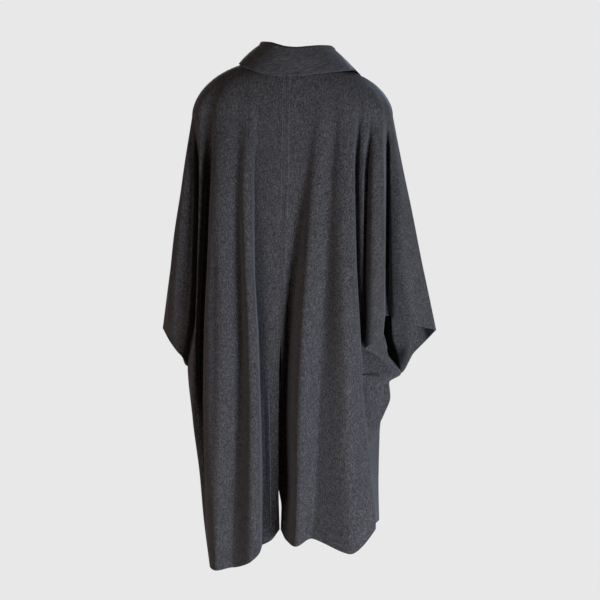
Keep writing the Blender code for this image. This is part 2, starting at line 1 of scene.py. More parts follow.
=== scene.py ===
import math
import bpy
import numpy as np
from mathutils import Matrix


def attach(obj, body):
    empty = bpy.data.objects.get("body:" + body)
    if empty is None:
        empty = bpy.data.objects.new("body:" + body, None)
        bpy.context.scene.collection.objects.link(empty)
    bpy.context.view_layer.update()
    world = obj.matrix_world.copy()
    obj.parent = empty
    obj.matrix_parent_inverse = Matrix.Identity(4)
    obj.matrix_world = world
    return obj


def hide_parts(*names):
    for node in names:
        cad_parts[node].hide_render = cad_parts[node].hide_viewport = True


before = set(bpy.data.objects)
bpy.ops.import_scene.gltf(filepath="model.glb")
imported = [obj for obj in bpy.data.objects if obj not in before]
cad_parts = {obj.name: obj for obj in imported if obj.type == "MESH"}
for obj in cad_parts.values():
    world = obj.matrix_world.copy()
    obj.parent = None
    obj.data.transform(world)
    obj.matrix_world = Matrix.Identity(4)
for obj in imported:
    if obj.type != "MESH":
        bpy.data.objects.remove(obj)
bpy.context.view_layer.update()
mm = 0.001

# Camera and soft studio light first, then the coat, panel by panel.
studio = {
    "azimuth": 14.0, "elevation": 7.1, "distance": 2.82, "aim": (0.010, 0.0, -0.510),
    "lens": 76.92, "sensor": 36, "farthest": 100,
    "paper": 0.807,  # the pale ground, as light that comes from it
    "paperReach": 14, "paperGrid": (25, 49), "floor": -1.6,
    "around": (0.110, 0.074, 0.052), "lit": (0, 0, -0.55),  # light from all round, and what the lamps face
    "key": {"at": (1.70, -1.46, -1.2), "size": 0.8, "power": 87, "colour": (0.76, 0.87, 1.0)},
    "fill": {"at": (-1.5, -2.5, -0.8), "size": 1.2, "power": 17, "colour": (0.93, 0.93, 0.97)},
    "top": {"at": (0.4, -0.4, 2.4), "size": 1.6, "power": 1.5, "colour": (1.0, 0.97, 0.94)},
    "left": {"at": (-1.35, -1.15, -1.35), "size": 0.7, "power": 5.5, "colour": (1.0, 0.80, 0.70)},
    "front": {"at": (-0.8, 2.6, 0.3), "size": 2.0, "power": 90, "colour": (1.0, 0.97, 0.94)},
}


def aimed(thing, target):
    # Turned so that its own -Z looks at the target
    away = np.array(thing.location) - np.array(target)
    flat = math.hypot(away[0], away[1])
    thing.rotation_euler = (math.atan2(flat, away[2]), 0, math.atan2(away[1], away[0]) + math.pi / 2)


def emptyMaterial(name):
    material = bpy.data.materials.new(name)
    material.use_nodes = True
    material.node_tree.nodes.clear()
    return material, material.node_tree.nodes, material.node_tree.links


def makeStudio():
    a, e = math.radians(studio["azimuth"]), math.radians(studio["elevation"])
    aim = np.array(studio["aim"])
    away = np.array([math.sin(a) * math.cos(e), -math.cos(a) * math.cos(e), math.sin(e)])
    camera = bpy.data.objects.new("camera", bpy.data.cameras.new("camera"))
    camera.location = aim + studio["distance"] * away
    camera.data.lens = studio["lens"]
    camera.data.sensor_width = studio["sensor"]
    camera.data.clip_end = studio["farthest"]
    aimed(camera, aim)
    bpy.context.collection.objects.link(camera)
    bpy.context.scene.camera = camera
    for name in ("key", "fill", "top", "left", "front"):
        row = studio[name]
        light = bpy.data.objects.new(name + "Light", bpy.data.lights.new(name + "Light", "AREA"))
        light.data.shape = "DISK"
        light.data.size, light.data.energy, light.data.color = row["size"], row["power"], row["colour"]
        light.location = row["at"]
        aimed(light, studio["lit"])
        bpy.context.collection.objects.link(light)
    world = bpy.data.worlds.new("studioAir")
    world.use_nodes = True
    world.node_tree.nodes["Background"].inputs["Color"].default_value = (*studio["around"], 1)
    bpy.context.scene.world = world
    bpy.context.scene.view_settings.view_transform = "Standard"
    # A pale floor and the paper that curves up all round it, seen by the camera alone: a sphere
    # whose points are raised to the floor where they lie below it
    paper, nodes, links = emptyMaterial("palePaper")
    glow, end = nodes.new("ShaderNodeEmission"), nodes.new("ShaderNodeOutputMaterial")
    glow.inputs["Color"].default_value = (studio["paper"],) * 3 + (1,)
    links.new(glow.outputs[0], end.inputs["Surface"])
    rises, turns = studio["paperGrid"]
    turn, rise = np.meshgrid(np.linspace(0, 2 * math.pi, turns),
                             np.linspace(-math.pi / 2, math.pi / 2, rises))
    points = np.stack([np.cos(rise) * np.cos(turn), np.cos(rise) * np.sin(turn), np.sin(rise)], -1)
    points *= studio["paperReach"]
    points[..., 2] = np.maximum(points[..., 2], studio["floor"])
    faces = gridFaces(gridIndex(rises, turns))
    backdrop = meshObject("paleFloorAndPaper", points.reshape(-1, 3), faces, paper)
    backdrop.visible_diffuse = backdrop.visible_glossy = backdrop.visible_shadow = False
    print("studio", len(bpy.data.lights), "lights")


def gridIndex(rows, columns, first=0):
    return first + np.arange(rows * columns).reshape(rows, columns)


def gridFaces(index):
    return np.stack([index[:-1, :-1], index[1:, :-1], index[1:, 1:], index[:-1, 1:]], -1).reshape(-1, 4)


def meshObject(name, points, faces, material, places=None):
    # places, when given, is the flat lie of every point in metres and becomes the UV map
    mesh = bpy.data.meshes.new(name)
    mesh.from_pydata(np.asarray(points).tolist(), [], np.asarray(faces).tolist())
    mesh.validate()
    mesh.shade_smooth()
    if places is not None:
        corners = np.empty(len(mesh.loops), int)
        mesh.loops.foreach_get("vertex_index", corners)
        mesh.uv_layers.new(name="flatCloth").data.foreach_set("uv", places[corners].ravel())
    mesh.materials.append(material)
    made = bpy.data.objects.new(name, mesh)
    bpy.context.collection.objects.link(made)
    return made


def smoothThrough(knots, values, places, creases=0.0):
    # A cubic through the values that doesn't swing past them: no slope at a turn, and the
    # harmonic mean of the two neighbouring slopes elsewhere. At a crease, from 0 to 1, the slopes
    # before and after the knot go over to those of straight lines
    knots, values = np.asarray(knots, float), np.asarray(values, float)
    steps = np.diff(values, axis=0) / np.diff(knots)[:, None]
    sameWay = steps[:-1] * steps[1:] > 0
    total = np.where(sameWay, steps[:-1] + steps[1:], 1.0)
    inner = np.where(sameWay, 2 * steps[:-1] * steps[1:] / total, 0.0)
    after = np.concatenate([steps[:1], inner + (steps[1:] - inner) * creases, steps[-1:]])
    before = np.concatenate([steps[:1], inner + (steps[:-1] - inner) * creases, steps[-1:]])
    part = np.clip(np.searchsorted(knots, places, side="right") - 1, 0, len(knots) - 2)
    width = (knots[part + 1] - knots[part])[:, None]
    t = (np.asarray(places, float)[:, None] - knots[part][:, None]) / width
    return (values[part] * (1 + 2 * t) * (1 - t) ** 2 + values[part + 1] * t**2 * (3 - 2 * t)
            + width * (after[part] * t * (1 - t) ** 2 + before[part + 1] * t**2 * (t - 1)))


# The neck seam and the yoke, the rounded oblong where the cloth turns down, in mm
shoulders = {
    "neckMiddle": 5.0, "neckHalfWidth": 72.0, "neckBack": 75.0, "neckFront": 68.0,
    "neckHeights": {"left": 8.0, "right": -10.0, "back": -12.0, "front": -62.0},
    "yokeMiddle": -9.5, "yokeHalfWidth": 220.5, "yokeBack": 98.0, "yokeFront": 90.0,
    "squareness": 3, "slope": 1.09,
}


def roundTheNeck(angles, left, right, back, front):
    # A measure with these values at the sides, back and front of the neck, and a soft change between
    turns = np.radians(angles)
    sides = (right + left) / 2 + (right - left) / 2 * np.sin(turns)
    return sides + (np.where(np.cos(turns) > 0, back, front) - sides) * np.cos(turns) ** 2


def neckSeam(angles):
    # An ellipse, deeper behind than in front, whose height is roundTheNeck's
    turns = np.radians(angles)
    depth = np.where(np.cos(turns) > 0, shoulders["neckBack"], shoulders["neckFront"])
    across = shoulders["neckMiddle"] + shoulders["neckHalfWidth"] * np.sin(turns)
    return np.stack([across, -depth * np.cos(turns), roundTheNeck(angles, **shoulders["neckHeights"])], 1)


def plainYoke(points):
    # The points moved straight out or in to a superellipse, where their shares of its width and
    # depth, each raised to the squareness, add up to one
    out = points[..., :2] - [shoulders["yokeMiddle"], 0]
    depth = np.where(out[..., 1] < 0, shoulders["yokeBack"], shoulders["yokeFront"])
    power = shoulders["squareness"]
    reach = (np.abs(out[..., 0]) / shoulders["yokeHalfWidth"]) ** power
    reach = reach + (np.abs(out[..., 1]) / depth) ** power
    plain = points.copy()
    plain[..., :2] = [shoulders["yokeMiddle"], 0] + out / reach[..., None] ** (1 / power)
    return plain


def overYoke(necks, yokes, shares):
    # A quarter oval from the neck to the yoke, its sine and cosine raised to the slope, with the
    # folds added as the share squared
    turn, slope = shares[:, None, None] * math.pi / 2, shoulders["slope"]
    plain = plainYoke(yokes)
    across = necks + (plain - necks) * np.sin(turn) ** slope
    down = necks + (plain - necks) * (1 - np.maximum(np.cos(turn), 0) ** slope)
    points = np.concatenate([across[..., :2], down[..., 2:]], -1)
    return points + (yokes - plain) * shares[:, None, None] ** 2


# Rows down a panel, columns from fold to fold, and the places of the extra ones near its edges
grain = {"yokeRows": 22, "upperRows": 84, "lowerRows": 72, "backColumns": 12, "frontColumns": 9,
         "edgePlaces": (0.035, 0.08), "edgeRows": (0.006, 0.014), "neckRows": (0.02,)}


def withEdges(count, near):
    # Even shares from 0 to 1, with a few more close to each end where an edge is rounded
    near = np.array(near)
    return np.unique(np.concatenate([np.linspace(0, 1, count + 1), near, 1 - near]))


def foldLine(stations, turn, toHem):
    # A fold from the yoke down: its places across and in depth go through smoothThrough by height,
    # at even rows down to the turn at the underarm and again from there to the hem
    table = np.array(stations, float)
    end = turn if toHem else table[-1, 0]
    heights = table[0, 0] + (end - table[0, 0]) * withEdges(grain["upperRows"], grain["edgeRows"])
    if toHem:
        below = turn + (table[-1, 0] - turn) * withEdges(grain["lowerRows"], grain["edgeRows"])
        heights = np.append(heights, below[1:])
    hung = smoothThrough(-table[:, 0], table[:, 1:], -heights)
    return np.concatenate([hung, heights[:, None]], 1)


# How sharply the cloth is creased along each kind of valley, reached at a run below the yoke
creased = {
    "centre valley": 0.4, "shallow valley": 0.3, "side valley": 0.8, "sleeve valley": 0.7,
    "deep valley": 0.9, "valley": 0.25, "step": 0.7, "front valley": 0.4, "start": -110.0, "run": 200.0,
}


def acrossFolds(lines, names, places):
    # Round over the ridges and creased along the valleys, more so further down
    lines = np.array(lines)
    sharpest = np.array([creased.get(name, 0.0) for name in names])[1:-1]
    depth = np.clip((creased["start"] - lines[1:-1, :, 2]) / creased["run"], 0, 1)
    creases = (sharpest[:, None, None] * depth[..., None] * [1, 1, 0]).reshape(len(sharpest), -1)
    curved = smoothThrough(np.arange(len(lines)), lines.reshape(len(lines), -1), places, creases)
    return curved.reshape(len(places), -1, 3).transpose(1, 0, 2)


def placesOf(cut, columns):
    # Where each column stands, counted in folds from the centre, and how many columns reach the hem
    body, sleeve = len(cut["body"]) - 1, len(cut["sleeve"])
    near = np.array(grain["edgePlaces"]) * grain["backColumns"] / columns
    bodyPlaces = withEdges(body * columns, near / body) * body
    sleevePlaces = body + withEdges(sleeve * columns, near / sleeve) * sleeve
    return np.concatenate([bodyPlaces, sleevePlaces[1:]]), len(bodyPlaces)


def panelSurface(cut, columns):
    # Upper and lower part of a panel's middle surface: folds hang from the yoke, and a curve
    # through the fold lines goes from the centre to the side, and on to the overarm above
    body, sleeve = cut["body"], cut["sleeve"]
    places, toHem = placesOf(cut, columns)
    turns = np.linspace(cut["underarmCentre"], cut["underarm"], len(body))
    bodyLines = [foldLine(fold[2:], turn, True) for fold, turn in zip(body, turns)]
    rows = len(withEdges(grain["upperRows"], grain["edgeRows"]))
    upperLines = [line[:rows] for line in bodyLines]
    upperLines += [foldLine(fold[2:], cut["underarm"], False) for fold in sleeve]
    names = [fold[0] for fold in body + sleeve]
    upper = acrossFolds(upperLines, names, places)
    lower = acrossFolds([line[rows - 1:] for line in bodyLines], names[: len(body)], places[:toHem])
    lower[0] = upper[-1, :toHem]
    angles = np.array([[fold[1]] for fold in body + sleeve], float)
    necks = neckSeam(smoothThrough(np.arange(len(angles)), angles, places)[:, 0])
    shares = withEdges(grain["yokeRows"], grain["neckRows"])[:-1]
    yoke = overYoke(necks[None], upper[:1], shares)
    return np.concatenate([yoke, upper]) * mm, lower * mm


backRight = {
    "underarm": -655.0, "underarmCentre": -660.0, "weaveBreak": 12.0,
    "body": (
        ("seam", 0, (-110, 4, -97), (-250, 2, -99), (-420, -2, -101), (-580, -8, -96), (-640, -9, -89),
         (-750, -20, -82), (-900, -20, -80), (-960, -12, -80), (-1008, -13, -80)),
        ("centre valley", 13, (-110, 56, -95), (-250, 43, -95), (-420, 25, -88), (-580, 6, -76),
         (-750, -6, -66), (-900, -2, -66), (-970, 2, -82), (-1024, 6, -104)),
        ("first ridge", 24, (-110, 79, -98), (-250, 69, -110), (-420, 59, -126), (-580, 51, -139),
         (-750, 46, -146), (-900, 44, -152), (-1018, 42, -158)),
        ("shallow valley", 34, (-110, 110, -94), (-250, 98, -104), (-420, 92, -110), (-580, 85, -115),
         (-750, 79, -118), (-900, 76, -122), (-1007, 68, -130)),
        ("second ridge", 43, (-110, 126, -94), (-250, 130, -112), (-420, 134, -128), (-580, 141, -140),
         (-750, 147, -144), (-900, 153, -149), (-1027, 157, -154)),
        ("side roll", 50, (-110, 146, -90), (-250, 151, -104), (-420, 158, -112), (-580, 168, -114),
         (-700, 174, -112), (-750, 179, -111), (-830, 188, -110), (-900, 195, -110), (-945, 201, -109),
         (-983, 202, -109)),
        ("side valley", 56, (-110, 156, -80), (-250, 147, -80), (-420, 150, -77), (-580, 157, -71),
         (-700, 160, -66), (-750, 163, -66), (-830, 166, -68), (-900, 174, -74), (-1000, 184, -80)),
        ("side seam", 62, (-110, 169, -78), (-250, 165, -84), (-420, 165, -82), (-520, 169, -78),
         (-548, 186, -68), (-576, 210, -60), (-614, 217, -60), (-655, 243, -46), (-680, 214, -27),
         (-713, 216, -22), (-746, 205, -25), (-774, 193, -30), (-833, 173, -40), (-913, 183, -55),
         (-984, 194, -62)),
    ),
    "sleeve": (
        ("sleeve valley", 67, (-110, 181, -70), (-250, 171, -74), (-420, 168, -80), (-598, 176, -98)),
        ("sleeve crest", 71, (-110, 190, -65), (-250, 191, -90), (-420, 193, -104), (-585, 193, -110)),
        ("sleeve ridge", 75, (-110, 200, -53), (-250, 209, -80), (-420, 214, -92), (-566, 213, -98)),
        ("deep valley", 79, (-110, 205, -37), (-250, 203, -24), (-420, 202, -19), (-538, 203, -21)),
        ("valley floor", 82, (-110, 209, -27), (-250, 210, -20), (-420, 209, -16), (-535, 210, -18)),
        ("sleeve edge", 84, (-110, 211, -18), (-250, 217, -33), (-420, 222, -38), (-540, 230, -37)),
        ("sleeve back", 87, (-110, 211, -9), (-250, 231, -34), (-420, 249, -46), (-548, 264, -41)),
        ("overarm", 90, (-110, 211, 0), (-190, 228, 0), (-310, 255, 0), (-420, 278, 0), (-490, 294, 0),
         (-566, 311, 0)),
    ),
}
backLeft = {
    "underarm": -667.0, "underarmCentre": -660.0, "weaveBreak": 11.0,
    "body": (
        ("seam", 0, (-110, 4, -97), (-250, 2, -99), (-420, -2, -101), (-580, -8, -96),
         (-640, -11, -98), (-750, -13, -97), (-900, -14, -96), (-1003, -12, -95)),
        ("vent facing", -8, (-110, -24, -97), (-250, -27, -102), (-420, -34, -104), (-580, -36, -103),
         (-750, -33, -100), (-900, -31, -98), (-1029, -31, -96)),
        ("step", -17, (-110, -56, -97), (-250, -65, -98), (-420, -66, -97), (-580, -59, -94),
         (-750, -55, -92), (-900, -52, -92), (-1041, -52, -97)),
        ("ridge edge", -21, (-110, -64, -98), (-250, -67, -112), (-420, -62, -123), (-580, -52, -131),
         (-750, -46, -136), (-900, -45, -137), (-1046, -47, -134)),
        ("first ridge", -26, (-110, -75, -99), (-250, -80, -118), (-420, -74, -131), (-580, -65, -141),
         (-750, -60, -147), (-900, -60, -150), (-1062, -61, -152)),
        ("valley", -35, (-110, -101, -95), (-250, -101, -107), (-420, -96, -111), (-580, -92, -113),
         (-750, -96, -115), (-900, -104, -117), (-1088, -112, -123)),
        ("second ridge", -46, (-110, -128, -93), (-250, -136, -111), (-420, -133, -125),
         (-580, -132, -134), (-750, -136, -139), (-900, -139, -143), (-1090, -140, -146)),
        ("ridge flank", -52, (-110, -150, -87), (-250, -158, -100), (-420, -163, -111),
         (-580, -169, -116), (-750, -172, -118), (-900, -170, -120), (-1094, -162, -120)),
        ("deep valley", -58, (-110, -167, -72), (-250, -177, -56), (-420, -187, -48),
         (-580, -199, -44), (-700, -201, -46), (-775, -199, -52), (-900, -194, -62),
         (-1000, -187, -76), (-1101, -174, -88)),
        ("side ridge", -65, (-110, -193, -67), (-250, -193, -76), (-420, -198, -80), (-590, -207, -78),
         (-700, -216, -64), (-776, -219, -52), (-897, -209, -48), (-1000, -198, -56),
         (-1103, -184, -60)),
        ("side seam", -71, (-110, -211, -49), (-250, -206, -28), (-420, -210, -26), (-560, -219, -29),
         (-610, -231, -22), (-667, -248, -10), (-762, -238, -15), (-870, -221, -20),
         (-1000, -203, -30), (-1098, -191, -38)),
    ),
    "sleeve": (
        ("valley floor", -74, (-110, -216, -42), (-250, -214, -25), (-420, -218, -25),
         (-560, -227, -29), (-657, -251, -19)),
        ("sleeve flank", -77, (-110, -221, -34), (-250, -217, -44), (-420, -222, -49),
         (-545, -233, -47), (-642, -254, -33)),
        ("sleeve crest", -81, (-110, -225, -26), (-250, -235, -51), (-420, -249, -56),
         (-545, -260, -51), (-631, -262, -38)),
        ("sleeve back", -85, (-110, -229, -14), (-250, -248, -32), (-420, -268, -40),
         (-545, -279, -39), (-611, -282, -28)),
        ("overarm", -90, (-110, -230, 0), (-190, -244, 0), (-310, -266, 0), (-420, -285, 0),
         (-490, -296, 0), (-584, -310, 0)),
    ),
}
frontRight = {
    "underarm": -655.0, "underarmCentre": -660.0, "weaveBreak": 7.0,
    "body": (
        ("front edge", 199, (-110, -22, 90), (-250, -22, 104), (-420, -22, 112), (-580, -22, 116),
         (-750, -28, 114), (-900, -34, 112), (-1045, -38, 110)),
        ("button stand", 160, (-110, 34, 90), (-250, 35, 105), (-420, 36, 114), (-580, 38, 118),
         (-750, 34, 118), (-900, 30, 118), (-1045, 26, 118)),
        ("front valley", 147, (-110, 68, 87), (-250, 69, 94), (-420, 72, 98), (-580, 76, 98),
         (-750, 76, 96), (-900, 76, 94), (-1042, 76, 92)),
        ("front ridge", 135, (-110, 101, 85), (-250, 109, 104), (-420, 116, 118), (-580, 122, 124),
         (-750, 122, 126), (-900, 120, 126), (-1036, 118, 126)),
        ("side valley", 123, (-110, 139, 68), (-250, 143, 74), (-420, 150, 76), (-580, 156, 74),
         (-750, 156, 74), (-900, 156, 76), (-1024, 156, 78)),
        ("side ridge", 113, (-110, 180, 56), (-250, 176, 60), (-420, 184, 66), (-580, 190, 66),
         (-700, 185, 58), (-800, 180, 50), (-900, 178, 50), (-1010, 180, 48)),
        ("side seam", 105, (-110, 198, 36), (-250, 197, 38), (-420, 206, 36), (-580, 216, 19),
         (-612, 226, 9), (-655, 243, -46), (-680, 214, -27), (-713, 216, -22), (-746, 205, -25),
         (-774, 193, -30), (-833, 173, -40), (-913, 183, -55), (-984, 194, -62)),
    ),
    "sleeve": (
        ("sleeve valley", 101, (-110, 203, 31), (-250, 211, 36), (-420, 230, 36), (-624, 258, 20)),
        ("sleeve front", 95, (-110, 209, 18), (-250, 232, 38), (-420, 264, 46), (-597, 283, 32)),
        ("overarm", 90, (-110, 211, 0), (-190, 228, 0), (-310, 255, 0), (-420, 278, 0), (-490, 294, 0),
         (-566, 311, 0)),
    ),
}
frontLeft = {
    "underarm": -667.0, "underarmCentre": -660.0, "weaveBreak": 6.3,
    "body": (
        ("front edge", 169, (-110, 22, 90), (-250, 22, 104), (-420, 22, 112), (-580, 20, 116),
         (-750, -36, 113), (-900, -74, 109), (-1050, -92, 105)),
        ("button stand", 211, (-110, -34, 90), (-250, -36, 104), (-420, -38, 113), (-580, -40, 117),
         (-750, -62, 115), (-900, -88, 113), (-1052, -102, 111)),
        ("front valley", 223, (-110, -68, 87), (-250, -70, 94), (-420, -74, 98), (-580, -78, 98),
         (-750, -92, 98), (-900, -106, 98), (-1060, -116, 98)),
        ("front ridge", 234, (-110, -104, 86), (-250, -111, 104), (-420, -118, 118), (-580, -124, 124),
         (-750, -128, 124), (-900, -130, 122), (-1070, -134, 122)),
        ("side valley", 244, (-110, -143, 69), (-250, -147, 74), (-420, -154, 76), (-580, -160, 76),
         (-750, -162, 76), (-900, -158, 78), (-1078, -152, 78)),
        ("side ridge", 252, (-110, -191, 58), (-250, -182, 60), (-420, -190, 66), (-580, -198, 66),
         (-700, -204, 56), (-800, -202, 48), (-900, -196, 46), (-1086, -183, 42)),
        ("side seam", 259, (-110, -213, 37), (-250, -210, 38), (-420, -220, 34), (-580, -234, 14),
         (-667, -248, -10), (-762, -238, -15), (-870, -221, -20), (-1000, -203, -30),
         (-1098, -191, -38)),
    ),
    "sleeve": (
        ("sleeve front", 265, (-110, -224, 21), (-250, -240, 36), (-420, -262, 40), (-626, -280, 22)),
        ("overarm", 270, (-110, -230, 0), (-190, -244, 0), (-310, -266, 0), (-420, -285, 0),
         (-490, -296, 0), (-584, -310, 0)),
    ),
}


def unit(vectors):
    return vectors / np.maximum(np.linalg.norm(vectors, axis=-1, keepdims=True), 1e-12)


def pointNormals(points, faces):
    # The mean of the faces' crossed diagonals, shared by all points in one place
    _, same = np.unique(np.round(points, 7), axis=0, return_inverse=True)
    same = same.reshape(-1)
    corners = points[faces]
    crossed = np.cross(corners[:, 2] - corners[:, 0], corners[:, 3] - corners[:, 1])
    total = np.zeros((same.max() + 1, 3))
    for corner in range(4):
        np.add.at(total, same[faces[:, corner]], crossed)
    return unit(total[same])


cloth = {
    "wall": 2.5 * mm, "seamGap": 0.01 * mm, "leastLean": 0.08, "edgePull": 1.0 * mm,
    "roundPull": 0.3 * mm, "roundRise": 0.74, "vent": -585 * mm, "lapDrop": 5.0 * mm,
    "lapFolds": 2, "calmFolds": 0.5,  # how far the lap reaches, and how near to a seam creases fade
    # where each piece was cut from the bolt, so that no two carry the same flecks
    "bolt": {"rightBack": (0, 0), "leftBack": (1.31, 0.47), "rightFront": (2.63, 0.19),
             "leftFront": (3.87, 0.71), "collarStand": (5.13, 0.33), "collarFall": (6.41, 0.57)},
}


def joinedGrid(upper, lower):
    # One list of points for both parts of a panel, which share a row, and each point's inward way
    across, below = upper.shape[1], lower.shape[1]
    top = gridIndex(upper.shape[0], across)
    bottom = np.concatenate([top[-1:, :below], gridIndex(lower.shape[0] - 1, below, top.size)])
    points = np.concatenate([upper.reshape(-1, 3), lower[1:].reshape(-1, 3)])
    inward = np.zeros_like(points)
    for edge, inner in ((top[:, 0], top[:, 1]), (top[:, -1], top[:, -2]), (top[0], top[1]),
                        (top[-1, below:], top[-2, below:]), (bottom[1:, 0], bottom[1:, 1]),
                        (bottom[:, -1], bottom[:, -2]), (bottom[-1], bottom[-2])):
        inward[edge] += unit(points[inner] - points[edge])
    # The flat lie: how far each point is along its row, and down its column
    places = np.empty((len(points), 2))
    places[top, 0], places[bottom, 0] = runAlong(points[top], 1), runAlong(points[bottom], 1)
    fall = runAlong(points[top], 0)
    places[top, 1] = -fall
    places[bottom, 1] = -fall[-1, :below] - runAlong(points[bottom], 0)
    return points, top, bottom, unit(inward), places


def clothPiece(name, points, normals, faces, inward, places, wall, material):
    # Both faces of the cloth, half a wall to either side of its points along their normals, joined
    # by a rounded edge of four strips
    edges = np.concatenate([faces[:, [i, (i + 1) % 4]] for i in range(4)])
    _, index, count = np.unique(np.sort(edges, 1), axis=0, return_inverse=True, return_counts=True)
    rim = edges[count[index.reshape(-1)] == 1]
    ends = np.unique(rim)
    rank = np.zeros(len(points), int)
    rank[ends] = np.arange(len(ends))
    edgeIn = np.zeros_like(points)
    edgeIn[ends] = inward[ends]
    layers = [points + edgeIn * cloth["edgePull"] + normals * wall / 2,
              points + edgeIn * cloth["edgePull"] - normals * wall / 2]
    rings = [points[ends] + inward[ends] * pull + normals[ends] * rise * wall / 2
             for pull, rise in ((cloth["roundPull"], cloth["roundRise"]), (0, 0),
                                (cloth["roundPull"], -cloth["roundRise"]))]
    total, size = len(points), len(ends)
    a, b = rim[:, 1], rim[:, 0]
    firsts = [2 * total + k * size for k in range(len(rings))]
    levels = [(a, b)] + [(first + rank[a], first + rank[b]) for first in firsts] + [(a + total, b + total)]
    strips = [np.stack([here[0], here[1], after[1], after[0]], 1)
              for here, after in zip(levels, levels[1:])]
    solid = np.concatenate([faces, faces[:, ::-1] + total] + strips)
    everything = np.concatenate(layers + rings)
    onBolt = places + cloth["bolt"][name]
    flat = np.concatenate([onBolt, onBolt] + [onBolt[ends]] * len(rings))
    return meshObject(name, everything, solid, material, flat)


# Soft troughs and ridges between the folds. Each one's place counts folds from the centre and
# leans by so many a metre down, its width is in folds and its depth in mm, with a trough below
# zero. It starts, is full, fades and ends at these heights in mm
softCreases = {
    "back_right": (
        (11.7, 0.0, 0.38, -11, -100, -180, -460, -535), (6.1, 0.0, 0.34, -10, -80, -200, -640, -900),
        (7.9, 0.0, 0.36, -7, -85, -200, -520, -600), (9.5, 0.4, 0.30, -3, -170, -300, -420, -560),
        (2.6, 0.5, 0.30, 2.5, -200, -420, -640, -900), (4.45, -0.5, 0.26, -3, -480, -640, -860, -990),
        (14.3, -0.6, 0.40, -3.5, -230, -360, -470, -560), (0.72, 0.0, 0.30, -3.5, -190, -330, -640, -960),
        (3.0, 0.0, 0.42, -5, -65, -180, -560, -900)),
    "back_left": (
        (8.0, 0.0, 0.38, -9, -140, -240, -820, -1040), (10.8, 0.0, 0.40, -9, -150, -260, -540, -640),
        (12.3, 0.0, 0.40, -3.5, -210, -340, -500, -600), (6.55, -0.4, 0.28, -3, -300, -460, -700, -980),
        (1.5, 0.5, 0.35, -2.5, -640, -760, -900, -1000), (5.1, 0.0, 0.40, -4, -75, -180, -420, -700),
        (14.1, 0.4, 0.35, 2.5, -260, -380, -480, -570)),
    "front_right": (
        (1.6, 0.3, 0.35, -5, -190, -330, -620, -860), (3.5, -0.5, 0.30, -4, -420, -600, -800, -1000),
        (4.2, 0.4, 0.30, 3.5, -170, -280, -480, -700), (7.2, 0.0, 0.35, -5, -150, -260, -420, -560),
        (8.4, 0.5, 0.30, -3, -300, -400, -500, -590)),
    "front_left": (
        (1.5, 0.4, 0.35, -4, -160, -270, -480, -700), (2.6, -0.5, 0.28, 3.5, -520, -700, -860, -1010),
        (3.4, 0.5, 0.30, -5, -250, -400, -740, -980), (5.4, 0.3, 0.30, -4, -180, -300, -520, -640),
        (7.0, -0.3, 0.35, -4, -210, -330, -480, -600)),
}


def softlyCreased(points, normals, grids, places, creases):
    # Moved along the normal by the sum of each crease's depth times a bell across it and a smooth
    # rise and fall down its length, and by nothing along the seams
    amount = np.zeros(len(points))
    for grid in grids:
        at = places[None, : grid.shape[1]]
        heights = points[grid][..., 2] / mm
        total = np.zeros_like(heights)
        for place, lean, width, depth, start, full, fade, end in creases:
            bell = np.exp(-(((at - place - lean * (start - heights) * mm) / width) ** 2))
            along = np.clip((start - heights) / (start - full), 0, 1)
            along = along * np.clip((heights - end) / (fade - end), 0, 1)
            total += depth * mm * bell * along**2 * (3 - 2 * along)
        inside = np.clip(np.minimum(at, at[:, -1:] - at) / cloth["calmFolds"], 0, 1)
        amount[grid] = total * inside**2 * (3 - 2 * inside)
    return points + normals * amount[:, None]


# Each panel's cut, its piece, its columns from fold to fold, and whether its faces turn round
panelCuts = {
    "back_right": (backRight, "rightBack", grain["backColumns"], False),
    "back_left": (backLeft, "leftBack", grain["backColumns"], True),
    "front_right": (frontRight, "rightFront", grain["frontColumns"], True),
    "front_left": (frontLeft, "leftFront", grain["frontColumns"], False),
}


